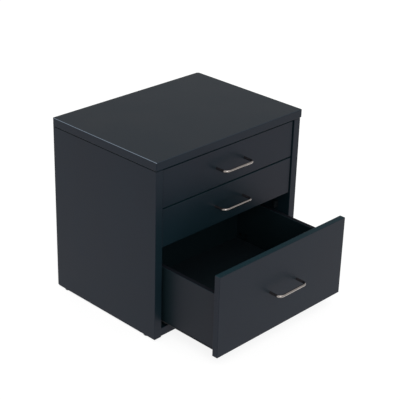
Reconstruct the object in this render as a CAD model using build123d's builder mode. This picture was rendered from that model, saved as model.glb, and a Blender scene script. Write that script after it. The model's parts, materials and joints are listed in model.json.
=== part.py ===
"""Nightstand with three drawers.

Frame: millimetres, +Z up, the front faces -Y and +X is to the right. The origin is on the
floor, under the centre of the carcass. Every piece is modelled where it stands with the two
shallow drawers shut and the deep bottom drawer pulled out.
"""
from build123d import *
import os
from collections import namedtuple

os.makedirs("parts", exist_ok=True)

# ---- Driving dimensions: carcass ----
TOP_WIDTH = 500.0
TOP_DEPTH = 365.0
BOARD = 22.0                  # thickness of the top, sides and bottom
FRONT_OVERHANG = 3.0          # the top stands out past the side panels' front edges
SIDE_OVERHANG = 1.5           # and past their outer faces
GLIDE_HEIGHT = 4.0
SIDE_HEIGHT = 444.0
BOTTOM_RECESS = 3.0           # the bottom panel's edge sits behind the sides' front edges
BACK_THICKNESS = 3.5
BACK_INSET = 1.0              # the back board stops short of the carcass outline
EDGE_ROUND = 0.8              # rounding of the edge banding
TOP_ROUND = 2.0               # rounding of the top's thicker banding
SHADOW_GROOVE = 2.0           # height of the groove under the top, outside and in front
SHADOW_GROOVE_DEPTH = 3.0

# ---- Driving dimensions: drawer fronts ----
FRONT_THICKNESS = 16.0
FRONT_RECESS = 3.0            # the fronts sit behind the sides' front edges
FRONT_SIDE_GAP = 3.0
FRONT_GAP = 3.5               # below and between the fronts
TOP_GAP = 5.0                 # above the uppermost front
SHALLOW_FRONT = 97.5
DEEP_OPENING = 186.5          # how far the bottom drawer stands open

# ---- Driving dimensions: drawer boxes ----
BOX_BOARD = 12.0
BOX_RISE = 11.0               # from a front's lower edge to its box's lower edge
BOX_LENGTH = 335.0
SHALLOW_BOX = 64.0
DEEP_BOX = 147.0
BASE_THICKNESS = 4.0
BASE_RISE = 20.0              # the box's base board above the box's lower edge
GROOVE_DEPTH = 5.0
GROOVE_PLAY = 0.2

# ---- Driving dimensions: handles ----
HANDLE_CENTRES = 96.0
HANDLE_REACH = 32.0           # from the front's face to the bar's centre line
HANDLE_ROD = 3.2              # radius
HANDLE_BEND = 12.0            # radius of the rod's centre line at its two corners

# ---- Driving dimensions: roller runners, heights measured from the box's lower edge ----
TRAVEL = 260.0                # of every drawer
RUNNER_SPACE = 12.5           # between a drawer box and the side panel
STEEL = 1.2
TRACK_LOW = -1.5              # top of the fixed track's lower flange
TRACK_HIGH = 19.5             # underside of its upper flange
TRACK_REACH = 9.8             # width of its flanges
TRACK_EAR_LOW = -13.0         # lower edge of the ear that carries the track's roller
TRACK_EAR_LENGTH = 24.0
STOP_DROP = 7.0               # the tab that stops the open drawer hangs this far into the track
FIXED_ROLLER = 6.0            # radius of the roller under the box side, at the track's front end
MOVING_ROLLER = 9.0           # radius of the roller at the rear of the rail, inside the track
ROLLER_WIDTH = 6.5
ROLLER_PLAY = 0.3             # between a roller and what it rolls on, and beside the axle's head
ROLLER_SHOULDER = 0.5         # between a roller and the steel that carries its axle
ROLLER_EDGE = 0.6             # chamfer on the roller's rims
ROLLER_UNDER_BOX = 1.0        # from the box side's outer face to the fixed roller
AXLE = 2.5                    # radius
AXLE_COLLAR = 3.8             # radius of the thick part that spaces the fixed roller
AXLE_PLAY = 0.05
AXLE_HEAD = 4.0               # radius
AXLE_HEAD_THICKNESS = 0.8
FIXED_ROLLER_SETBACK = 11.0   # from the track's front end to the roller's centre
MOVING_ROLLER_SETBACK = 12.0  # from the box's rear end to the roller's centre
RAIL_EAR = (2.0, 54.0)        # span of the rail's rear ear, measured forward from the box's rear
RAIL_EAR_HIGH = 20.0
RAIL_TONGUE = (38.0, 52.0)    # span of the tongue that stands on the ear
RAIL_TONGUE_HIGH = 48.0

# ---- Driving dimensions: tilt stops above the box sides ----
TILT_STOP_SETBACK = 17.0      # behind a shut drawer's front board
TILT_STOP_LENGTH = 6.0
TILT_STOP_HEIGHT = 18.0
TILT_STOP_REACH = 14.5        # out from the side panel
TILT_STOP_CLEARANCE = 5.0     # above the box side
TILT_STOP_PIN = 2.4
TILT_STOP_PIN_LENGTH = 10.0

# ---- Driving dimensions: fasteners ----
SCREW_SHANK = 1.75
SCREW_HEAD = 3.2
SCREW_HEAD_THICKNESS = 1.2
SCREW_LENGTH = 13.2           # a box board and a rail thick
CAM_BOLT = 3.0
CAM_BOLT_NECK = 2.2           # the bolt is thinner between its thread and its head
CAM_BOLT_HEAD_LENGTH = 4.0
CAM_BOLT_THREAD = 11.0        # length screwed into the facing board
CAM_REACH = 24.0              # from the joint to the cam lock's centre
CAM_LOCK = 7.5
CAM_LOCK_DEPTH = 14.0
SMALL_CAM_BOLT = 2.0
SMALL_CAM_LOCK = 5.0
SMALL_CAM_DEPTH = 9.0
SMALL_CAM_REACH = 14.0
SMALL_CAM_THREAD = 10.0
CAM_SLOT = 1.4
CAM_SLOT_DEPTH = 1.5
DOWEL = 4.0
DOWEL_LENGTH = 30.0
DOWEL_SHORT_END = 10.0        # length of a dowel in the facing board
HANDLE_SCREW = 2.0
HANDLE_SCREW_HEAD = 3.8
HANDLE_SCREW_HEAD_THICKNESS = 2.0
HANDLE_SCREW_GRIP = 10.0      # length of the screw inside the handle's leg
NAIL = 0.8
NAIL_HEAD = 2.6
NAIL_LENGTH = 20.0
NAIL_HEAD_THICKNESS = 0.8
GLIDE_RADIUS = 10.0
GLIDE_TAPER = 1.0
GLIDE_PIN = 1.5
GLIDE_PIN_LENGTH = 12.0
HOLE_PLAY = 0.05              # every fastener hole is this much larger in radius

# ---- Worked out: carcass ----
SIDE_BASE = GLIDE_HEIGHT
SIDE_TOP = SIDE_BASE + SIDE_HEIGHT
TOP_SURFACE = SIDE_TOP + BOARD
OUTER_X = TOP_WIDTH / 2 - SIDE_OVERHANG
INNER_X = OUTER_X - BOARD
MID_X = OUTER_X - BOARD / 2
REAR_Y = TOP_DEPTH / 2
SIDE_FRONT_Y = -TOP_DEPTH / 2 + FRONT_OVERHANG
BOTTOM_TOP = SIDE_BASE + BOARD
BOTTOM_MID_Z = SIDE_BASE + BOARD / 2

# ---- Worked out: drawers ----
FRONT_Y = SIDE_FRONT_Y + FRONT_RECESS
BOX_Y = FRONT_Y + FRONT_THICKNESS
BOX_REAR_Y = BOX_Y + BOX_LENGTH
BOX_X = INNER_X - RUNNER_SPACE
TRACK_Y = BOX_Y + 2.0
FIXED_ROLLER_Y = TRACK_Y + FIXED_ROLLER_SETBACK
FIXED_ROLLER_Z = -STEEL - ROLLER_PLAY - FIXED_ROLLER
MOVING_ROLLER_Y = BOX_REAR_Y - MOVING_ROLLER_SETBACK
MOVING_ROLLER_Z = TRACK_LOW + ROLLER_PLAY + MOVING_ROLLER
TRACK_REAR_Y = MOVING_ROLLER_Y + MOVING_ROLLER + ROLLER_PLAY + STEEL
TRACK_STOP_Y = MOVING_ROLLER_Y - TRAVEL - MOVING_ROLLER - ROLLER_PLAY
TILT_STOP_Y = BOX_Y + TILT_STOP_SETBACK
DEEP_FRONT = SIDE_HEIGHT - BOARD - 2 * SHALLOW_FRONT - 4 * FRONT_GAP
DEEP_Z = BOTTOM_TOP + FRONT_GAP
MIDDLE_Z = DEEP_Z + DEEP_FRONT + FRONT_GAP
TOP_Z = MIDDLE_Z + SHALLOW_FRONT + FRONT_GAP
TOP_FRONT = SIDE_TOP - TOP_GAP - TOP_Z

# front_z and box_z are the lower edges of a drawer's front and of its box
Drawer = namedtuple("Drawer", "name front_z front_height box_z box_height opening")
DRAWERS = (
    Drawer("top_drawer", TOP_Z, TOP_FRONT, TOP_Z + BOX_RISE, SHALLOW_BOX, 0.0),
    Drawer("middle_drawer", MIDDLE_Z, SHALLOW_FRONT, MIDDLE_Z + BOX_RISE, SHALLOW_BOX, 0.0),
    Drawer("bottom_drawer", DEEP_Z, DEEP_FRONT, DEEP_Z + BOX_RISE, DEEP_BOX, DEEP_OPENING),
)
SIDES = (("left", -1), ("right", 1))

# ---- Places of the carcass fasteners ----
CAM_YS = (-125.0, 125.0)
DOWEL_YS = (-90.0, 90.0)
GLIDE_YS = (SIDE_FRONT_Y + 37.0, REAR_Y - 27.5)
NAIL_ZS = (55.0, 140.0, 225.0, 310.0, 395.0)
NAIL_XS = (-150.0, 0.0, 150.0)
TRACK_SCREW_YS = (-118.0, 128.0)
TRACK_SCREW_Z = 9.0
TONGUE_SCREW_SETBACK = 45.0   # forward from the box's rear
TONGUE_SCREW_ZS = (30.0, 42.0)
RAIL_SCREW_YS = (BOX_Y + 40.0, BOX_REAR_Y - 70.0)
RAIL_SCREW_INSET = 3.3        # from the box side's outer face
SMALL_CAM_LOW = 38.0          # above the box's lower edge
SMALL_CAM_HIGH = 12.0         # below its upper edge


def save(part, name):
    """Label a finished part and write it to its own STEP file."""
    part.label = name
    export_step(part, f"parts/{name}.step")


def slab(x_span, y_span, z_span, mode=Mode.ADD):
    """Add a rectangular board to the open part, or cut one out, from its extent along each axis."""
    spans = (x_span, y_span, z_span)
    centre = tuple(sum(span) / 2 for span in spans)
    size = [abs(span[1] - span[0]) for span in spans]
    with Locations(centre):
        Box(*size, mode=mode)


def drill(points, outward, radius, depth):
    """Bore a blind hole at each point of the open part, from the face that points outward."""
    for point in points:
        with Locations(Plane(origin=point, z_dir=outward)):
            Hole(radius + HOLE_PLAY, depth)


def stepped_pin(points, direction, steps):
    """Turn a pin at each point of the open part. Steps are (radius, length) along direction."""
    for point in points:
        start = Vector(point)
        for radius, length in steps:
            with Locations(Plane(origin=start, z_dir=direction)):
                Cylinder(radius, length, align=(Align.CENTER, Align.CENTER, Align.MIN))
            start += Vector(direction) * length


def gap_x(side, distance):
    """X at a distance from the side panel's inner face, into the runner space."""
    return side * (INNER_X - distance)


# ---- Places worked out from the boards that meet ----
def top_joint_points(ys):
    """Points on the joint between the top and both side panels."""
    return [(side * MID_X, y, SIDE_TOP) for _, side in SIDES for y in ys]


def bottom_joint_points(side, ys):
    """Points on the joint between the bottom panel and one side panel."""
    return [(side * INNER_X, y, BOTTOM_MID_Z) for y in ys]


def nail_points():
    """Points on the back board's rear face where it is nailed to the boards in front of it."""
    rear = REAR_Y + BACK_THICKNESS
    upright = [(side * MID_X, rear, z) for _, side in SIDES for z in NAIL_ZS]
    level = [(x, rear, z) for x in NAIL_XS for z in (BOTTOM_MID_Z, SIDE_TOP + BOARD / 2)]
    return upright + level


def drill_for_nails():
    """Bore the nail holes out of the open part."""
    drill(nail_points(), (0, 1, 0), NAIL, BACK_THICKNESS + NAIL_LENGTH)


# ---- Carcass boards ----
def make_top_panel():
    """The top rests on both side panels, held by cam bolts and dowels from below."""
    with BuildPart() as top_panel:
        slab((-TOP_WIDTH / 2, TOP_WIDTH / 2), (-TOP_DEPTH / 2, REAR_Y), (SIDE_TOP, TOP_SURFACE))
        fillet(top_panel.edges(), TOP_ROUND)
        drill(top_joint_points(CAM_YS), (0, 0, -1), CAM_BOLT, CAM_BOLT_THREAD)
        drill(top_joint_points(DOWEL_YS), (0, 0, -1), DOWEL, DOWEL_SHORT_END)
        drill_for_nails()
    save(top_panel.part, "top_panel")


def make_side_panel(hand, side):
    """A side runs from its glides to the top, bored for cams, dowels and runner screws."""
    inward = (-side, 0, 0)
    whole_x = (side * INNER_X, side * OUTER_X)
    outer_x = (side * (OUTER_X - SHADOW_GROOVE_DEPTH), side * OUTER_X)
    front_y = (SIDE_FRONT_Y, SIDE_FRONT_Y + SHADOW_GROOVE_DEPTH)
    groove_z = (SIDE_TOP - SHADOW_GROOVE, SIDE_TOP)
    with BuildPart() as side_panel:
        slab(whole_x, (SIDE_FRONT_Y, REAR_Y), (SIDE_BASE, SIDE_TOP))
        fillet(side_panel.edges(), EDGE_ROUND)
        slab(outer_x, (SIDE_FRONT_Y, REAR_Y), groove_z, mode=Mode.SUBTRACT)
        slab(whole_x, front_y, groove_z, mode=Mode.SUBTRACT)
        joint = [point for point in top_joint_points(CAM_YS) if point[0] * side > 0]
        drill(joint, (0, 0, 1), CAM_BOLT, CAM_REACH)
        cams = [(side * INNER_X, y, SIDE_TOP - CAM_REACH) for y in CAM_YS]
        drill(cams, inward, CAM_LOCK, CAM_LOCK_DEPTH)
        joint = [point for point in top_joint_points(DOWEL_YS) if point[0] * side > 0]
        drill(joint, (0, 0, 1), DOWEL, DOWEL_LENGTH - DOWEL_SHORT_END)
        drill(bottom_joint_points(side, CAM_YS), inward, CAM_BOLT, CAM_BOLT_THREAD)
        drill(bottom_joint_points(side, DOWEL_YS), inward, DOWEL, DOWEL_SHORT_END)
        drill(track_screw_points(side, 0), inward, SCREW_SHANK, SCREW_LENGTH - STEEL)
        drill(tilt_stop_pin_points(side), inward, TILT_STOP_PIN, TILT_STOP_PIN_LENGTH)
        glides = [(side * MID_X, y, SIDE_BASE) for y in GLIDE_YS]
        drill(glides, (0, 0, -1), GLIDE_PIN, GLIDE_PIN_LENGTH)
        drill_for_nails()
    save(side_panel.part, f"{hand}_side_panel")


def make_bottom_panel():
    """The bottom panel lies between the sides and hides its cam locks underneath."""
    with BuildPart() as bottom_panel:
        slab((-INNER_X, INNER_X), (SIDE_FRONT_Y + BOTTOM_RECESS, REAR_Y), (SIDE_BASE, BOTTOM_TOP))
        fillet(bottom_panel.edges(), EDGE_ROUND)
        for _, side in SIDES:
            outward = (side, 0, 0)
            drill(bottom_joint_points(side, CAM_YS), outward, CAM_BOLT, CAM_REACH)
            drill(bottom_joint_points(side, DOWEL_YS), outward, DOWEL, DOWEL_LENGTH - DOWEL_SHORT_END)
            cams = [(side * (INNER_X - CAM_REACH), y, SIDE_BASE) for y in CAM_YS]
            drill(cams, (0, 0, -1), CAM_LOCK, CAM_LOCK_DEPTH)
        drill_for_nails()
    save(bottom_panel.part, "bottom_panel")


def make_back_panel():
    """The thin back board is nailed over the rear edges of the top, sides and bottom."""
    half_width = OUTER_X - BACK_INSET
    with BuildPart() as back_panel:
        slab(
            (-half_width, half_width),
            (REAR_Y, REAR_Y + BACK_THICKNESS),
            (SIDE_BASE + BACK_INSET, TOP_SURFACE - BACK_INSET),
        )
        drill_for_nails()
    save(back_panel.part, "back_panel")


# ---- Carcass fasteners ----
def cam_lock(mouth, inward, bolt_way, radius, depth, bolt_radius, bolt_depth):
    """Add one cam lock, bored across for its bolt and slotted for a screwdriver."""
    with Locations(Plane(origin=mouth, z_dir=inward)):
        Cylinder(radius, depth, align=(Align.CENTER, Align.CENTER, Align.MIN))
    edge = Vector(mouth) + Vector(inward) * bolt_depth + Vector(bolt_way) * radius
    with Locations(Plane(origin=edge, z_dir=bolt_way)):
        Hole(bolt_radius + HOLE_PLAY, radius + bolt_radius)
    with Locations(Plane(origin=mouth, z_dir=inward)):
        Box(1.2 * radius, CAM_SLOT, 2 * CAM_SLOT_DEPTH, mode=Mode.SUBTRACT)
        Box(CAM_SLOT, 1.2 * radius, 2 * CAM_SLOT_DEPTH, mode=Mode.SUBTRACT)


def make_cam_locks():
    """Slotted cam locks grip the bolt heads in the sides and under the bottom panel."""
    size = (CAM_LOCK, CAM_LOCK_DEPTH, CAM_BOLT, BOARD / 2)
    with BuildPart() as cam_locks:
        for _, side in SIDES:
            for y in CAM_YS:
                side_mouth = (side * INNER_X, y, SIDE_TOP - CAM_REACH)
                cam_lock(side_mouth, (side, 0, 0), (0, 0, 1), *size)
                bottom_mouth = (side * (INNER_X - CAM_REACH), y, SIDE_BASE)
                cam_lock(bottom_mouth, (0, 0, 1), (side, 0, 0), *size)
    save(cam_locks.part, "cam_locks")


def make_cam_bolts():
    """Steel bolts run from the facing board to the middle of each cam lock."""
    steps = (
        (CAM_BOLT, CAM_BOLT_THREAD),
        (CAM_BOLT_NECK, CAM_REACH - CAM_BOLT_HEAD_LENGTH),
        (CAM_BOLT, CAM_BOLT_HEAD_LENGTH),
    )
    with BuildPart() as cam_bolts:
        starts = [(x, y, z + CAM_BOLT_THREAD) for x, y, z in top_joint_points(CAM_YS)]
        stepped_pin(starts, (0, 0, -1), steps)
        for _, side in SIDES:
            joint = bottom_joint_points(side, CAM_YS)
            starts = [(x + side * CAM_BOLT_THREAD, y, z) for x, y, z in joint]
            stepped_pin(starts, (-side, 0, 0), steps)
    save(cam_bolts.part, "cam_bolts")


def make_dowels():
    """Beech dowels line up the four main joints."""
    steps = ((DOWEL, DOWEL_LENGTH),)
    with BuildPart() as dowels:
        starts = [(x, y, z + DOWEL_SHORT_END) for x, y, z in top_joint_points(DOWEL_YS)]
        stepped_pin(starts, (0, 0, -1), steps)
        for _, side in SIDES:
            joint = bottom_joint_points(side, DOWEL_YS)
            starts = [(x + side * DOWEL_SHORT_END, y, z) for x, y, z in joint]
            stepped_pin(starts, (-side, 0, 0), steps)
        chamfer(dowels.edges().filter_by(GeomType.CIRCLE), EDGE_ROUND)
    save(dowels.part, "dowels")


def make_back_nails():
    """Flat-headed nails hold the back board."""
    steps = ((NAIL_HEAD, NAIL_HEAD_THICKNESS), (NAIL, BACK_THICKNESS + NAIL_LENGTH))
    with BuildPart() as back_nails:
        heads = [(x, y + NAIL_HEAD_THICKNESS, z) for x, y, z in nail_points()]
        stepped_pin(heads, (0, -1, 0), steps)
    save(back_nails.part, "back_nails")


def make_floor_glides():
    """Nail-on plastic glides, tapered towards the floor, lift the sides off it."""
    steps = ((GLIDE_RADIUS, GLIDE_HEIGHT / 2), (GLIDE_PIN, GLIDE_PIN_LENGTH))
    with BuildPart() as floor_glides:
        for _, side in SIDES:
            for y in GLIDE_YS:
                with Locations((side * MID_X, y, 0)):
                    Cone(
                        GLIDE_RADIUS - GLIDE_TAPER,
                        GLIDE_RADIUS,
                        GLIDE_HEIGHT / 2,
                        align=(Align.CENTER, Align.CENTER, Align.MIN),
                    )
                stepped_pin([(side * MID_X, y, GLIDE_HEIGHT / 2)], (0, 0, 1), steps)
    save(floor_glides.part, "floor_glides")


# ---- Runners: a fixed track on the side panel and a rail under the drawer box ----
def track_screw_points(side, distance):
    """Where the screws of all three fixed tracks stand, at a distance into the runner space."""
    return [
        (gap_x(side, distance), y, drawer.box_z + TRACK_SCREW_Z)
        for drawer in DRAWERS
        for y in TRACK_SCREW_YS
    ]


def axle_steps(collar_length):
    """An axle with a collar that spaces its roller from the steel, and a riveted head."""
    return (
        (AXLE_COLLAR, collar_length),
        (AXLE, ROLLER_WIDTH + 2 * ROLLER_PLAY),
        (AXLE_HEAD, AXLE_HEAD_THICKNESS),
    )


def make_track(drawer, hand, side):
    """A steel channel on the side panel, closed at the rear, with an ear and an axle in front."""
    low = drawer.box_z + TRACK_LOW - STEEL
    high = drawer.box_z + TRACK_HIGH + STEEL
    wall_x = gap_x(side, 0)
    inside_x = gap_x(side, STEEL)
    lip_x = gap_x(side, TRACK_REACH)
    with BuildPart() as track:
        with BuildSketch(Plane.XZ.offset(-TRACK_Y)):
            with BuildLine():
                Polyline(
                    (wall_x, low),
                    (lip_x, low),
                    (lip_x, low + STEEL),
                    (inside_x, low + STEEL),
                    (inside_x, high - STEEL),
                    (lip_x, high - STEEL),
                    (lip_x, high),
                    (wall_x, high),
                    close=True,
                )
            make_face()
        extrude(amount=-(TRACK_REAR_Y - TRACK_Y))
        slab((wall_x, lip_x), (TRACK_REAR_Y - STEEL, TRACK_REAR_Y), (low, high))
        slab((wall_x, lip_x), (TRACK_STOP_Y - STEEL, TRACK_STOP_Y), (high - STOP_DROP, high))
        slab(
            (wall_x, inside_x),
            (TRACK_Y, TRACK_Y + TRACK_EAR_LENGTH),
            (drawer.box_z + TRACK_EAR_LOW, low),
        )
        centre = (inside_x, FIXED_ROLLER_Y, drawer.box_z + FIXED_ROLLER_Z)
        collar = RUNNER_SPACE + ROLLER_UNDER_BOX - STEEL - ROLLER_PLAY
        stepped_pin([centre], (-side, 0, 0), axle_steps(collar))
        screws = [point for point in track_screw_points(side, STEEL) if low < point[2] < high]
        drill(screws, (-side, 0, 0), SCREW_SHANK, STEEL)
    save(track.part, f"{drawer.name}_{hand}_track")


def make_rail(drawer, hand, side):
    """A flat steel rail under a box side, with a rear ear that carries the roller in the track."""
    rear_y = BOX_REAR_Y - drawer.opening
    web = (gap_x(side, RUNNER_SPACE - STEEL), gap_x(side, RUNNER_SPACE))
    low = drawer.box_z - STEEL
    with BuildPart() as rail:
        slab(
            (web[0], gap_x(side, RUNNER_SPACE + BOX_BOARD)),
            (rear_y - BOX_LENGTH, rear_y),
            (low, drawer.box_z),
        )
        slab(
            web,
            (rear_y - RAIL_EAR[1], rear_y - RAIL_EAR[0]),
            (low, drawer.box_z + RAIL_EAR_HIGH),
        )
        slab(
            web,
            (rear_y - RAIL_TONGUE[1], rear_y - RAIL_TONGUE[0]),
            (low, drawer.box_z + RAIL_TONGUE_HIGH),
        )
        centre = (web[0], MOVING_ROLLER_Y - drawer.opening, drawer.box_z + MOVING_ROLLER_Z)
        stepped_pin([centre], (side, 0, 0), axle_steps(ROLLER_SHOULDER - ROLLER_PLAY))
        drill(tongue_screw_points(drawer, side, RUNNER_SPACE - STEEL), (side, 0, 0), SCREW_SHANK, STEEL)
        drill(rail_screw_points(drawer, side, -STEEL), (0, 0, -1), SCREW_HEAD, STEEL)
    save(rail.part, f"{drawer.name}_{hand}_rail")


def make_roller(name, start, direction, radius):
    """A plastic roller, bored for its axle, that grows from start along direction."""
    with BuildPart() as roller:
        with BuildSketch(Plane(origin=start, z_dir=direction)):
            Circle(radius)
            Circle(AXLE + AXLE_PLAY, mode=Mode.SUBTRACT)
        extrude(amount=ROLLER_WIDTH)
        rims = roller.edges().filter_by(GeomType.CIRCLE).filter_by(lambda e: e.radius > AXLE + 1)
        chamfer(rims, ROLLER_EDGE)
    save(roller.part, name)


def make_rollers(drawer, hand, side):
    """One roller turns on the fixed track's axle, under the rail, the other on the rail's ear."""
    fixed_x = gap_x(side, RUNNER_SPACE + ROLLER_UNDER_BOX)
    fixed = (fixed_x, FIXED_ROLLER_Y, drawer.box_z + FIXED_ROLLER_Z)
    make_roller(f"{drawer.name}_{hand}_track_roller", fixed, (-side, 0, 0), FIXED_ROLLER)
    moving_x = gap_x(side, RUNNER_SPACE - STEEL - ROLLER_SHOULDER)
    moving = (moving_x, MOVING_ROLLER_Y - drawer.opening, drawer.box_z + MOVING_ROLLER_Z)
    make_roller(f"{drawer.name}_{hand}_rail_roller", moving, (side, 0, 0), MOVING_ROLLER)


def make_track_screws():
    """Pan-headed screws hold the six tracks to the side panels."""
    steps = ((SCREW_HEAD, SCREW_HEAD_THICKNESS), (SCREW_SHANK, SCREW_LENGTH))
    with BuildPart() as track_screws:
        for _, side in SIDES:
            stepped_pin(track_screw_points(side, STEEL + SCREW_HEAD_THICKNESS), (side, 0, 0), steps)
    save(track_screws.part, "track_screws")


# ---- Tilt stops ----
def tilt_stop_pin_points(side):
    """Where the two pins of each tilt stop enter the side panel."""
    middle_y = TILT_STOP_Y + TILT_STOP_LENGTH / 2
    pins = []
    for drawer in DRAWERS:
        low = drawer.box_z + drawer.box_height + TILT_STOP_CLEARANCE
        for share in (0.25, 0.75):
            pins.append((side * INNER_X, middle_y, low + share * TILT_STOP_HEIGHT))
    return pins


def make_tilt_stops():
    """Plastic blocks just above the box sides keep a pulled-out drawer from tipping down."""
    with BuildPart() as tilt_stops:
        for _, side in SIDES:
            for drawer in DRAWERS:
                low = drawer.box_z + drawer.box_height + TILT_STOP_CLEARANCE
                slab(
                    (side * INNER_X, gap_x(side, TILT_STOP_REACH)),
                    (TILT_STOP_Y, TILT_STOP_Y + TILT_STOP_LENGTH),
                    (low, low + TILT_STOP_HEIGHT),
                )
        fillet(tilt_stops.edges(), EDGE_ROUND)
        for _, side in SIDES:
            steps = ((TILT_STOP_PIN, TILT_STOP_PIN_LENGTH),)
            stepped_pin(tilt_stop_pin_points(side), (side, 0, 0), steps)
    save(tilt_stops.part, "tilt_stops")


# ---- Places of one drawer's fasteners ----
def handle_points(drawer, y):
    """The axes of the handle's two legs, at height of the front's middle."""
    z = drawer.front_z + drawer.front_height / 2
    return [(side * HANDLE_CENTRES / 2, y, z) for _, side in SIDES]


def tongue_screw_points(drawer, side, distance):
    """Where the screws through a box side and its rail's tongue stand, at a distance in the space."""
    x = gap_x(side, distance)
    y = BOX_REAR_Y - TONGUE_SCREW_SETBACK - drawer.opening
    return [(x, y, drawer.box_z + height) for height in TONGUE_SCREW_ZS]


def rail_screw_points(drawer, side, height):
    """Where the flush screws stand that come up through a rail into the box side."""
    x = side * (BOX_X - RAIL_SCREW_INSET)
    return [(x, y - drawer.opening, drawer.box_z + height) for y in RAIL_SCREW_YS]


def box_joints(drawer):
    """Y of the box sides' front and rear ends, each with the way from the joint into the side."""
    front_y = BOX_Y - drawer.opening
    return ((front_y, 1), (front_y + BOX_LENGTH - BOX_BOARD, -1))


def small_cam_points(drawer, side, x, y):
    """Where the small cam locks or bolts of one box side's end stand."""
    heights = (SMALL_CAM_LOW, drawer.box_height - SMALL_CAM_HIGH)
    return [(side * x, y, drawer.box_z + height) for height in heights]


def cut_groove(drawer, x_span, y_span):
    """Cut the groove that holds the box's base out of the open part."""
    low = drawer.box_z + BASE_RISE
    slab(x_span, y_span, (low, low + BASE_THICKNESS + GROOVE_PLAY), mode=Mode.SUBTRACT)


# ---- Drawer boards ----
def make_front(drawer):
    """The front is set between the side panels and carries the handle and the box."""
    back_y = BOX_Y - drawer.opening
    half_width = INNER_X - FRONT_SIDE_GAP
    groove_x = BOX_X - BOX_BOARD + GROOVE_DEPTH
    with BuildPart() as front:
        slab(
            (-half_width, half_width),
            (back_y - FRONT_THICKNESS, back_y),
            (drawer.front_z, drawer.front_z + drawer.front_height),
        )
        fillet(front.edges(), EDGE_ROUND)
        cut_groove(drawer, (-groove_x, groove_x), (back_y - GROOVE_DEPTH, back_y))
        drill(handle_points(drawer, back_y), (0, 1, 0), HANDLE_SCREW, FRONT_THICKNESS)
        for _, side in SIDES:
            bolts = small_cam_points(drawer, side, BOX_X - BOX_BOARD / 2, back_y)
            drill(bolts, (0, 1, 0), SMALL_CAM_BOLT, SMALL_CAM_THREAD)
    save(front.part, f"{drawer.name}_front")


def make_box_side(drawer, hand, side):
    """A box side is grooved for the base and bored for its cams and its rail's screws."""
    inner_x = BOX_X - BOX_BOARD
    (front_y, _), (rear_y, _) = box_joints(drawer)
    with BuildPart() as box_side:
        slab(
            (side * inner_x, side * BOX_X),
            (front_y, rear_y),
            (drawer.box_z, drawer.box_z + drawer.box_height),
        )
        fillet(box_side.edges(), EDGE_ROUND)
        cut_groove(drawer, (side * inner_x, side * (inner_x + GROOVE_DEPTH)), (front_y, rear_y))
        for y, way in box_joints(drawer):
            mouths = small_cam_points(drawer, side, inner_x, y + way * SMALL_CAM_REACH)
            drill(mouths, (-side, 0, 0), SMALL_CAM_LOCK, SMALL_CAM_DEPTH)
            bolts = small_cam_points(drawer, side, BOX_X - BOX_BOARD / 2, y)
            drill(bolts, (0, -way, 0), SMALL_CAM_BOLT, SMALL_CAM_REACH)
        drill(tongue_screw_points(drawer, side, RUNNER_SPACE), (side, 0, 0), SCREW_SHANK, BOX_BOARD)
        drill(rail_screw_points(drawer, side, 0), (0, 0, -1), SCREW_SHANK, SCREW_LENGTH)
    save(box_side.part, f"{drawer.name}_{hand}_side")


def make_box_back(drawer):
    """The box's back closes the rear ends of both sides and is grooved for the base."""
    front_y = BOX_REAR_Y - BOX_BOARD - drawer.opening
    groove_x = BOX_X - BOX_BOARD + GROOVE_DEPTH
    with BuildPart() as box_back:
        slab(
            (-BOX_X, BOX_X),
            (front_y, front_y + BOX_BOARD),
            (drawer.box_z, drawer.box_z + drawer.box_height),
        )
        fillet(box_back.edges(), EDGE_ROUND)
        cut_groove(drawer, (-groove_x, groove_x), (front_y, front_y + GROOVE_DEPTH))
        for _, side in SIDES:
            bolts = small_cam_points(drawer, side, BOX_X - BOX_BOARD / 2, front_y)
            drill(bolts, (0, -1, 0), SMALL_CAM_BOLT, SMALL_CAM_THREAD)
    save(box_back.part, f"{drawer.name}_back")


def make_box_base(drawer):
    """The thin base is held by the grooves of the sides, the front and the back."""
    reach = GROOVE_DEPTH - GROOVE_PLAY
    half_width = BOX_X - BOX_BOARD + reach
    (front_y, _), (rear_y, _) = box_joints(drawer)
    base_z = drawer.box_z + BASE_RISE
    with BuildPart() as base:
        slab(
            (-half_width, half_width),
            (front_y - reach, rear_y + reach),
            (base_z, base_z + BASE_THICKNESS),
        )
    save(base.part, f"{drawer.name}_base")


# ---- Drawer hardware ----
def make_handle(drawer):
    """A round rod bent into a bow, tapped at both ends for its screws."""
    left, right = handle_points(drawer, FRONT_Y - drawer.opening)
    bar_y = left[1] - HANDLE_REACH
    with BuildPart() as handle:
        with BuildLine(Plane.XY.offset(left[2])):
            FilletPolyline(
                (left[0], left[1]),
                (left[0], bar_y),
                (right[0], bar_y),
                (right[0], right[1]),
                radius=HANDLE_BEND,
            )
        with BuildSketch(Plane(origin=left, z_dir=(0, -1, 0))):
            Circle(HANDLE_ROD)
        sweep()
        drill((left, right), (0, 1, 0), HANDLE_SCREW, HANDLE_SCREW_GRIP)
    save(handle.part, f"{drawer.name}_handle")


def make_cam_fittings(drawer):
    """Small cam locks in the box sides' ends and the bolts that join them to front and back."""
    bolt_steps = ((SMALL_CAM_BOLT, SMALL_CAM_THREAD + SMALL_CAM_REACH),)
    size = (SMALL_CAM_LOCK, SMALL_CAM_DEPTH, SMALL_CAM_BOLT, BOX_BOARD / 2)
    with BuildPart() as fittings:
        for _, side in SIDES:
            for y, way in box_joints(drawer):
                for mouth in small_cam_points(drawer, side, BOX_X - BOX_BOARD, y + way * SMALL_CAM_REACH):
                    cam_lock(mouth, (side, 0, 0), (0, -way, 0), *size)
        for _, side in SIDES:
            for y, way in box_joints(drawer):
                bolts = small_cam_points(drawer, side, BOX_X - BOX_BOARD / 2, y - way * SMALL_CAM_THREAD)
                stepped_pin(bolts, (0, way, 0), bolt_steps)
    save(fittings.part, f"{drawer.name}_cam_fittings")


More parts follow.
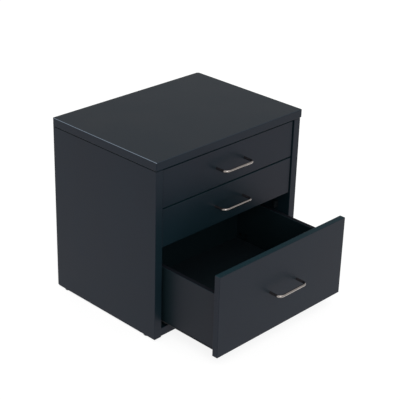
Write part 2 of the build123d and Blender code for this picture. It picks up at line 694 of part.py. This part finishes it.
def make_screws(drawer):
    """Screws for the handle, and for the rails from inside the box and from below."""
    head = (SCREW_HEAD, SCREW_HEAD_THICKNESS)
    handle_steps = (
        (HANDLE_SCREW_HEAD, HANDLE_SCREW_HEAD_THICKNESS),
        (HANDLE_SCREW, FRONT_THICKNESS + HANDLE_SCREW_GRIP),
    )
    with BuildPart() as screws:
        heads = handle_points(drawer, BOX_Y + HANDLE_SCREW_HEAD_THICKNESS - drawer.opening)
        stepped_pin(heads, (0, -1, 0), handle_steps)
        for _, side in SIDES:
            inside = tongue_screw_points(drawer, side, RUNNER_SPACE + BOX_BOARD + SCREW_HEAD_THICKNESS)
            stepped_pin(inside, (side, 0, 0), (head, (SCREW_SHANK, SCREW_LENGTH)))
            below = rail_screw_points(drawer, side, -SCREW_HEAD_THICKNESS)
            stepped_pin(below, (0, 0, 1), (head, (SCREW_SHANK, SCREW_LENGTH)))
    save(screws.part, f"{drawer.name}_screws")


# ---- Build ----
make_top_panel()
make_bottom_panel()
make_back_panel()
make_cam_locks()
make_cam_bolts()
make_dowels()
make_back_nails()
make_floor_glides()
make_track_screws()
make_tilt_stops()
for hand, side in SIDES:
    make_side_panel(hand, side)
for drawer in DRAWERS:
    make_front(drawer)
    make_box_back(drawer)
    make_box_base(drawer)
    make_handle(drawer)
    make_cam_fittings(drawer)
    make_screws(drawer)
    for hand, side in SIDES:
        make_box_side(drawer, hand, side)
        make_track(drawer, hand, side)
        make_rail(drawer, hand, side)
        make_rollers(drawer, hand, side)
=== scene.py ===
"""Looks for the nightstand: dark melamine boards, nickel handles, a white studio and its camera.

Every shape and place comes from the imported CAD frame. This script gives each CAD piece its
finish, and adds the floor, the lights and the camera.
"""
import json
import math

import bpy
from mathutils import Matrix, Vector


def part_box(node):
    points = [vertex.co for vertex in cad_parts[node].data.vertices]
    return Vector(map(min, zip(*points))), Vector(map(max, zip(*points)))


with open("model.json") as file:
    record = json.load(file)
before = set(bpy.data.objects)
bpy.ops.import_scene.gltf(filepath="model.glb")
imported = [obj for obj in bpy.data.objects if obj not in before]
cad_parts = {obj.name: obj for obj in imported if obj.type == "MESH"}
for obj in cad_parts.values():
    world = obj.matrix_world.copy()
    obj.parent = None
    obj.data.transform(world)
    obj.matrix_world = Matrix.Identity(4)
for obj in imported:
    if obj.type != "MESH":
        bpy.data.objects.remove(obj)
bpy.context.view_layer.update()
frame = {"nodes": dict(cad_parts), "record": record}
top_low, top_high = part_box("top_panel")

# ---- Camera: the view from the front left and above ----
LENS = 103.643                # on a 36 mm sensor
SENSOR = 36.0
YAW = math.radians(45.911)    # turned right from +Y
PITCH = math.radians(25.714)  # below the horizon
ROLL = math.radians(1.599)
DISTANCE = 2.9353             # from the camera to the aim point, along the view
AIM = Vector((0.0, 0.0, top_high.z / 2))      # the middle of the carcass
AIM_RIGHT = 0.0558            # how far the view's axis passes from the aim point
AIM_UP = -0.0017

# ---- Studio ----
FLOOR_SIZE = 300.0
FLOOR_GLOW = 0.87             # most of the floor's white, so shadows are faint
FLOOR_ROUGHNESS = 0.9
FLOOR_DARK = (0.18, 0.18, 0.18, 1)
FLOOR_LIGHT = (0.22, 0.22, 0.22, 1)
WHITE = (1.0, 1.0, 1.0, 1.0)
WORLD_STRENGTH = 0.59
CEILING_STRENGTH = 0.8        # a very soft sun straight above
CEILING_ANGLE = math.radians(80.0)
FRONT_LIGHT_PLACE = (-1.3, -2.3, 1.7)
FRONT_LIGHT_SIZE = 1.4
FRONT_LIGHT_ENERGY = 22.0

# ---- Finishes: sizes in metres, colours as linear red, green, blue and alpha ----
NOISE_LOW = 0.3               # nearly all of a noise lies between these two
NOISE_HIGH = 0.7
MELAMINE_GLOSS = 0.145        # dark skin whose reflections are a little violet
MELAMINE_TINT = (1.0, 0.54, 0.80, 1.0)
CLOUD = 0.12                  # slow mottle of a board
PEARL = 0.0011                # the fine texture pressed into melamine
DUST = 0.00025                # pale specks in it
BOARD = {
    "dark": (0.0042, 0.0132, 0.0178, 1),
    "light": (0.0052, 0.0152, 0.0205, 1),
    "speck": (0.011, 0.024, 0.032, 1),
    # painted highlight: the pale colour of the top panel's upper arrises
    "highlight_colour": (0.26, 0.32, 0.39, 1),
    "rough": 0.42,
}
FRONT = {
    "dark": (0.0041, 0.0126, 0.0172, 1),
    "light": (0.0051, 0.0146, 0.0198, 1),
    "speck": (0.010, 0.027, 0.034, 1),
    # painted highlight on the fronts' upper arrises
    "highlight_colour": (0.025, 0.060, 0.072, 1),
    "rough": 0.38,
    "band_and_shade": (0.0035, 0.0230, 0.0290, 1),
    "band_rough": 0.62,
}
BOX = {
    "dark": (0.0048, 0.0125, 0.0150, 1),
    "light": (0.0058, 0.0140, 0.0170, 1),
    "speck": (0.009, 0.020, 0.026, 1),
    # painted highlight on the drawer boxes' upper arrises
    "highlight_colour": (0.020, 0.045, 0.055, 1),
    "rough": 0.44,
    # painted shade: the drawer boxes' top edges are coloured nearly black
    "band_and_shade": (0.0020, 0.0060, 0.0080, 1),
    "band_rough": 0.85,
}
HARDBOARD_DARK = (0.0050, 0.0100, 0.0135, 1)
HARDBOARD_LIGHT = (0.0090, 0.0160, 0.0200, 1)
NICKEL = (0.36, 0.325, 0.305, 1)
NICKEL_TARNISH = (0.24, 0.22, 0.21, 1)
ZINC = (0.62, 0.62, 0.60, 1)
ZINC_DARK = (0.45, 0.45, 0.44, 1)
DARK_ZINC = (0.045, 0.045, 0.048, 1)
DARK_ZINC_DARK = (0.025, 0.025, 0.028, 1)
BLACK_COAT = (0.022, 0.024, 0.026, 1)
BLACK_COAT_RUBBED = (0.09, 0.09, 0.09, 1)
BLACK_PLASTIC = (0.003, 0.006, 0.008, 1)
BLACK_PLASTIC_PALE = (0.006, 0.010, 0.012, 1)
WHITE_PLASTIC = (0.72, 0.72, 0.70, 1)
WHITE_PLASTIC_PALE = (0.62, 0.62, 0.59, 1)
BEECH_LATE = (0.50, 0.31, 0.17, 1)
BEECH_EARLY = (0.66, 0.45, 0.28, 1)
BEECH_FLECK = (0.36, 0.20, 0.10, 1)


# ---- Building blocks for the materials ----
class Finish:
    """A material being built: a Principled shader and the nodes that feed it."""

    def __init__(self, name, metallic=0.0, specular=0.5, ior=1.5, tint=WHITE):
        self.material = bpy.data.materials.new(name)
        self.material.use_nodes = True
        self.tree = self.material.node_tree
        self.shader = self.tree.nodes["Principled BSDF"]
        self.shader.inputs["Metallic"].default_value = metallic
        self.shader.inputs["Specular IOR Level"].default_value = specular
        self.shader.inputs["IOR"].default_value = ior
        self.shader.inputs["Specular Tint"].default_value = tint
        self.place = self.node("ShaderNodeTexCoord").outputs["Object"]

    def node(self, kind, **settings):
        """Add a node of this kind, with its settings."""
        made = self.tree.nodes.new(kind)
        for name, value in settings.items():
            setattr(made, name, value)
        return made

    def feed(self, socket, value):
        """Link a socket to another one, or set it to a plain value."""
        if isinstance(value, bpy.types.NodeSocket):
            self.tree.links.new(value, socket)
        else:
            socket.default_value = value

    def noise(self, size, detail=3.0, stretch=(1.0, 1.0, 1.0), distortion=0.0):
        """Smooth noise whose blobs are about size metres across, stretched along an axis."""
        mapping = self.node("ShaderNodeMapping")
        self.feed(mapping.inputs["Vector"], self.place)
        mapping.inputs["Scale"].default_value = [1 / (size * s) for s in stretch]
        made = self.node("ShaderNodeTexNoise")
        self.feed(made.inputs["Vector"], mapping.outputs["Vector"])
        made.inputs["Scale"].default_value = 1.0
        made.inputs["Detail"].default_value = detail
        made.inputs["Distortion"].default_value = distortion
        return made.outputs["Fac"]

    def ranged(self, value, low, high, to_low, to_high):
        """Map a value from one range to another, clamped at both ends."""
        made = self.node("ShaderNodeMapRange")
        self.feed(made.inputs["Value"], value)
        for name, number in zip(("From Min", "From Max", "To Min", "To Max"),
                                (low, high, to_low, to_high)):
            made.inputs[name].default_value = number
        return made.outputs["Result"]

    def swing(self, noise, low, high):
        """Map the usual range of a noise to low .. high."""
        return self.ranged(noise, NOISE_LOW, NOISE_HIGH, low, high)

    def math(self, operation, first, second):
        """Join two values with an arithmetic operation."""
        made = self.node("ShaderNodeMath", operation=operation)
        self.feed(made.inputs[0], first)
        self.feed(made.inputs[1], second)
        return made.outputs["Value"]

    def blend(self, share, first, second):
        """Colour between first and second."""
        made = self.node("ShaderNodeMix", data_type="RGBA")
        self.feed(made.inputs["Factor"], share)
        self.feed(made.inputs["A"], first)
        self.feed(made.inputs["B"], second)
        return made.outputs["Result"]

    def arris_highlight(self, above):
        """Painted highlight mask: 1 where a top face rounds over into a left side face, about an
        eighth of that on the other sides, only higher than above, 0 elsewhere.
        """
        normal = self.node("ShaderNodeNewGeometry").outputs["Normal"]
        size = self.node("ShaderNodeVectorMath", operation="ABSOLUTE")
        self.feed(size.inputs[0], normal)
        parts = self.node("ShaderNodeSeparateXYZ")
        self.feed(parts.inputs["Vector"], size.outputs["Vector"])
        # the largest part of a normal is 1 on a flat face and 0.71 halfway round an arris
        widest = self.math("MAXIMUM", parts.outputs["X"], parts.outputs["Y"])
        widest = self.math("MAXIMUM", widest, parts.outputs["Z"])
        rounded = self.ranged(widest, 0.92, 0.78, 0.0, 1.0)
        signed = self.node("ShaderNodeSeparateXYZ")
        self.feed(signed.inputs["Vector"], normal)
        upward = self.ranged(signed.outputs["Z"], 0.1, 0.4, 0.0, 1.0)
        # the painted highlight is strongest on the left arrises and faint on the others
        leftward = self.ranged(signed.outputs["X"], -0.1, -0.5, 0.12, 1.0)
        height = self.node("ShaderNodeSeparateXYZ")
        self.feed(height.inputs["Vector"], self.place)
        high = self.math("GREATER_THAN", height.outputs["Z"], above)
        highlight_share = self.math("MULTIPLY", self.math("MULTIPLY", rounded, upward), leftward)
        return self.math("MULTIPLY", highlight_share, high)

    def facing_up(self):
        """1 on flat faces that look straight up, 0 elsewhere."""
        normal = self.node("ShaderNodeNewGeometry").outputs["True Normal"]
        parts = self.node("ShaderNodeSeparateXYZ")
        self.feed(parts.inputs["Vector"], normal)
        return self.math("GREATER_THAN", parts.outputs["Z"], 0.95)

    def edges(self, radius):
        """1 along the piece's edges, 0 further from them than radius."""
        bevel = self.node("ShaderNodeBevel", samples=6)
        bevel.inputs["Radius"].default_value = radius
        normal = self.node("ShaderNodeNewGeometry").outputs["Normal"]
        dot = self.node("ShaderNodeVectorMath", operation="DOT_PRODUCT")
        self.feed(dot.inputs[0], bevel.outputs["Normal"])
        self.feed(dot.inputs[1], normal)
        return self.ranged(dot.outputs["Value"], 0.98, 0.75, 0.0, 1.0)

    def bump(self, height, strength, distance):
        """Surface normal of a fine relief of this height."""
        made = self.node("ShaderNodeBump")
        made.inputs["Strength"].default_value = strength
        made.inputs["Distance"].default_value = distance
        self.feed(made.inputs["Height"], height)
        return made.outputs["Normal"]

    def finish(self, colour, roughness, normal=None):
        """Join what was made to the shader, and give the finished material."""
        self.feed(self.shader.inputs["Base Color"], colour)
        self.feed(self.shader.inputs["Roughness"], roughness)
        if normal is not None:
            self.feed(self.shader.inputs["Normal"], normal)
        return self.material


# ---- Finishes ----
def melamine(name, dark, light, speck, highlight_colour, rough, band_and_shade=None, band_rough=0.0, highlight_above=0.0):
    """Satin melamine: faintly mottled, with a fine pearl texture, and a painted highlight along
    its upper arrises.

    Where a board has an upper edge colour, its upward faces get that colour and a duller
    surface: an edge band's colour on the fronts, painted shade on the drawer boxes.
    """
    made = Finish(name, specular=MELAMINE_GLOSS, tint=MELAMINE_TINT)
    cloud = made.noise(CLOUD, detail=2.0)
    pearl = made.noise(PEARL, detail=2.0)
    dust = made.noise(DUST, detail=1.0)
    face = made.blend(made.swing(cloud, 0.0, 1.0), dark, light)
    dusty = made.blend(made.ranged(dust, 0.62, 0.8, 0.0, 0.35), face, speck)
    # painted highlight: the upper arrises are coloured pale, most of all on the left
    colour = made.blend(made.arris_highlight(highlight_above), dusty, highlight_colour)
    roughness = made.math(
        "ADD",
        made.swing(cloud, rough - 0.02, rough + 0.02),
        made.swing(pearl, -0.03, 0.03),
    )
    # upward faces: the fronts' edge band colour, and painted shade on the drawer boxes' top
    # edges
    if band_and_shade is not None:
        upper_edge = made.facing_up()
        colour = made.blend(upper_edge, colour, band_and_shade)
        duller = made.math("MULTIPLY", upper_edge, band_rough - rough)
        roughness = made.math("ADD", roughness, duller)
    normal = made.bump(pearl, strength=0.12, distance=0.0002)
    return made.finish(colour, roughness, normal)


def hardboard(name):
    """Smooth dark painted hardboard with short fibres under the paint."""
    made = Finish(name, specular=0.2)
    fibre = made.noise(0.0012, detail=4.0, stretch=(1.0, 5.0, 1.0), distortion=0.6)
    cloud = made.noise(0.05)
    share = made.ranged(fibre, 0.35, 0.7, 0.0, 1.0)
    colour = made.blend(share, HARDBOARD_DARK, HARDBOARD_LIGHT)
    roughness = made.swing(cloud, 0.5, 0.6)
    return made.finish(colour, roughness, made.bump(fibre, strength=0.15, distance=0.0002))


def brushed_metal(name, colour, darker, rough, along):
    """Metal with fine lines along one axis and a little tarnish."""
    made = Finish(name, metallic=1.0)
    stretch = [40.0 if axis == along else 1.0 for axis in "XYZ"]
    lines = made.noise(0.00025, detail=2.0, stretch=stretch)
    tarnish = made.noise(0.012)
    shade = made.blend(made.ranged(tarnish, 0.35, 0.75, 0.0, 0.6), colour, darker)
    roughness = made.ranged(lines, 0.25, 0.75, rough - 0.05, rough + 0.07)
    return made.finish(shade, roughness, made.bump(lines, strength=0.08, distance=0.0001))


def plated_steel(name, colour, darker, rough):
    """Zinc plate: a fine crystal mottle, duller where it is paler."""
    made = Finish(name, metallic=1.0)
    grain = made.noise(0.0016, detail=4.0, distortion=0.8)
    shade = made.blend(made.swing(grain, 0.0, 1.0), darker, colour)
    roughness = made.swing(grain, rough, rough + 0.12)
    return made.finish(shade, roughness, made.bump(grain, strength=0.1, distance=0.0001))


def powder_coat(name, colour, pale, rough):
    """Epoxy powder coat with a small orange peel, rubbed paler at the edges."""
    made = Finish(name)
    peel = made.noise(0.0018, detail=1.0)
    dust = made.noise(0.02)
    worn = made.math("MULTIPLY", made.edges(radius=0.0006), 0.5)
    shade = made.blend(worn, colour, pale)
    roughness = made.swing(dust, rough - 0.05, rough + 0.05)
    return made.finish(shade, roughness, made.bump(peel, strength=0.25, distance=0.0002))


def moulded_plastic(name, colour, pale, rough):
    """Moulded plastic with faint flow marks and a spark-eroded grain."""
    made = Finish(name, specular=0.3, ior=1.46)
    grain = made.noise(0.0006, detail=2.0)
    flow = made.noise(0.008, detail=2.0, distortion=0.4)
    shade = made.blend(made.ranged(flow, 0.35, 0.7, 0.0, 0.5), colour, pale)
    roughness = made.swing(grain, rough - 0.05, rough + 0.05)
    return made.finish(shade, roughness, made.bump(grain, strength=0.2, distance=0.0001))


def beech(name):
    """Plain beech with growth lines and short darker flecks along the dowel."""
    made = Finish(name, specular=0.4)
    rings = made.noise(0.0015, detail=3.0, stretch=(1.0, 1.0, 9.0))
    flecks = made.noise(0.0005, detail=1.0, stretch=(1.0, 1.0, 7.0))
    wood = made.blend(made.swing(rings, 0.0, 1.0), BEECH_LATE, BEECH_EARLY)
    shade = made.blend(made.ranged(flecks, 0.6, 0.75, 0.0, 0.6), wood, BEECH_FLECK)
    return made.finish(shade, 0.55, made.bump(rings, strength=0.2, distance=0.0002))


def make_materials():
    """One finish for each of the record's material slots."""
    return {
        # on the boards the painted arris highlight is only on the top panel
        "melamine_board": melamine("melamine_board", highlight_above=top_low.z, **BOARD),
        "melamine_front": melamine("melamine_front", **FRONT),
        "melamine_box": melamine("melamine_box", **BOX),
        "hardboard": hardboard("hardboard"),
        "zinc_fittings": plated_steel("zinc_fittings", ZINC, ZINC_DARK, rough=0.3),
        "dark_fittings": plated_steel("dark_fittings", DARK_ZINC, DARK_ZINC_DARK, rough=0.35),
        "beech": beech("beech"),
        "black_plastic": moulded_plastic(
            "black_plastic", BLACK_PLASTIC, BLACK_PLASTIC_PALE, rough=0.5),
        "brushed_nickel": brushed_metal(
            "brushed_nickel", NICKEL, NICKEL_TARNISH, rough=0.11, along="X"),
        "black_steel": powder_coat("black_steel", BLACK_COAT, BLACK_COAT_RUBBED, rough=0.4),
        "roller_plastic": moulded_plastic(
            "roller_plastic", WHITE_PLASTIC, WHITE_PLASTIC_PALE, rough=0.42),
    }


def dress_nodes(materials):
    """Put each CAD node's finish in its material slots."""
    for row in frame["record"]["subparts"]:
        mesh = frame["nodes"][row["node"]].data
        finish = materials[row["material_slot"]]
        if not mesh.materials:
            mesh.materials.append(finish)
        for index in range(len(mesh.materials)):
            mesh.materials[index] = finish


# ---- Studio ----
def make_floor():
    """A white floor out to the horizon that glows like a light table and keeps shadows faint."""
    mesh = bpy.data.meshes.new("floor")
    half = FLOOR_SIZE / 2
    corners = [(-half, -half, 0), (half, -half, 0), (half, half, 0), (-half, half, 0)]
    mesh.from_pydata(corners, [], [(0, 1, 2, 3)])
    floor = bpy.data.objects.new("floor", mesh)
    bpy.context.scene.collection.objects.link(floor)
    paper = Finish("paper", specular=0.1)
    colour = paper.blend(paper.noise(0.4), FLOOR_DARK, FLOOR_LIGHT)
    paper.shader.inputs["Emission Color"].default_value = WHITE
    paper.shader.inputs["Emission Strength"].default_value = FLOOR_GLOW
    mesh.materials.append(paper.finish(colour, FLOOR_ROUGHNESS))


def make_world():
    """Plain light all round."""
    world = bpy.data.worlds.new("studio")
    world.use_nodes = True
    background = world.node_tree.nodes["Background"]
    background.inputs["Color"].default_value = WHITE
    background.inputs["Strength"].default_value = WORLD_STRENGTH
    bpy.context.scene.world = world


def make_ceiling():
    """A very soft light from straight above, as even as a lit ceiling."""
    data = bpy.data.lights.new("ceiling", "SUN")
    data.energy = CEILING_STRENGTH
    data.angle = CEILING_ANGLE
    bpy.context.scene.collection.objects.link(bpy.data.objects.new("ceiling", data))


def make_front_light():
    """A large softbox beside the camera, which reaches into the open drawer."""
    data = bpy.data.lights.new("front_light", "AREA")
    data.shape = "SQUARE"
    data.size = FRONT_LIGHT_SIZE
    data.energy = FRONT_LIGHT_ENERGY
    light = bpy.data.objects.new("front_light", data)
    light.location = FRONT_LIGHT_PLACE
    light.rotation_mode = "QUATERNION"
    light.rotation_quaternion = (AIM - Vector(FRONT_LIGHT_PLACE)).to_track_quat("-Z", "Y")
    bpy.context.scene.collection.objects.link(light)


def make_camera():
    """The camera stands off the aim point along the view, turned, tilted and rolled."""
    ahead = Vector((
        math.sin(YAW) * math.cos(PITCH), math.cos(YAW) * math.cos(PITCH), -math.sin(PITCH)))
    level = Vector((math.cos(YAW), -math.sin(YAW), 0.0))
    above = level.cross(ahead)
    across = math.cos(ROLL) * level + math.sin(ROLL) * above
    upward = math.cos(ROLL) * above - math.sin(ROLL) * level
    place = AIM - DISTANCE * ahead + AIM_RIGHT * across + AIM_UP * upward
    data = bpy.data.cameras.new("camera")
    data.sensor_width = SENSOR
    data.lens = LENS
    camera = bpy.data.objects.new("camera", data)
    turn = Matrix((across, upward, -ahead)).transposed().to_4x4()
    camera.matrix_world = Matrix.Translation(place) @ turn
    bpy.context.scene.collection.objects.link(camera)
    bpy.context.scene.camera = camera


bpy.context.scene.view_settings.view_transform = "Standard"
make_camera()
dress_nodes(make_materials())
make_floor()
make_world()
make_ceiling()
make_front_light()
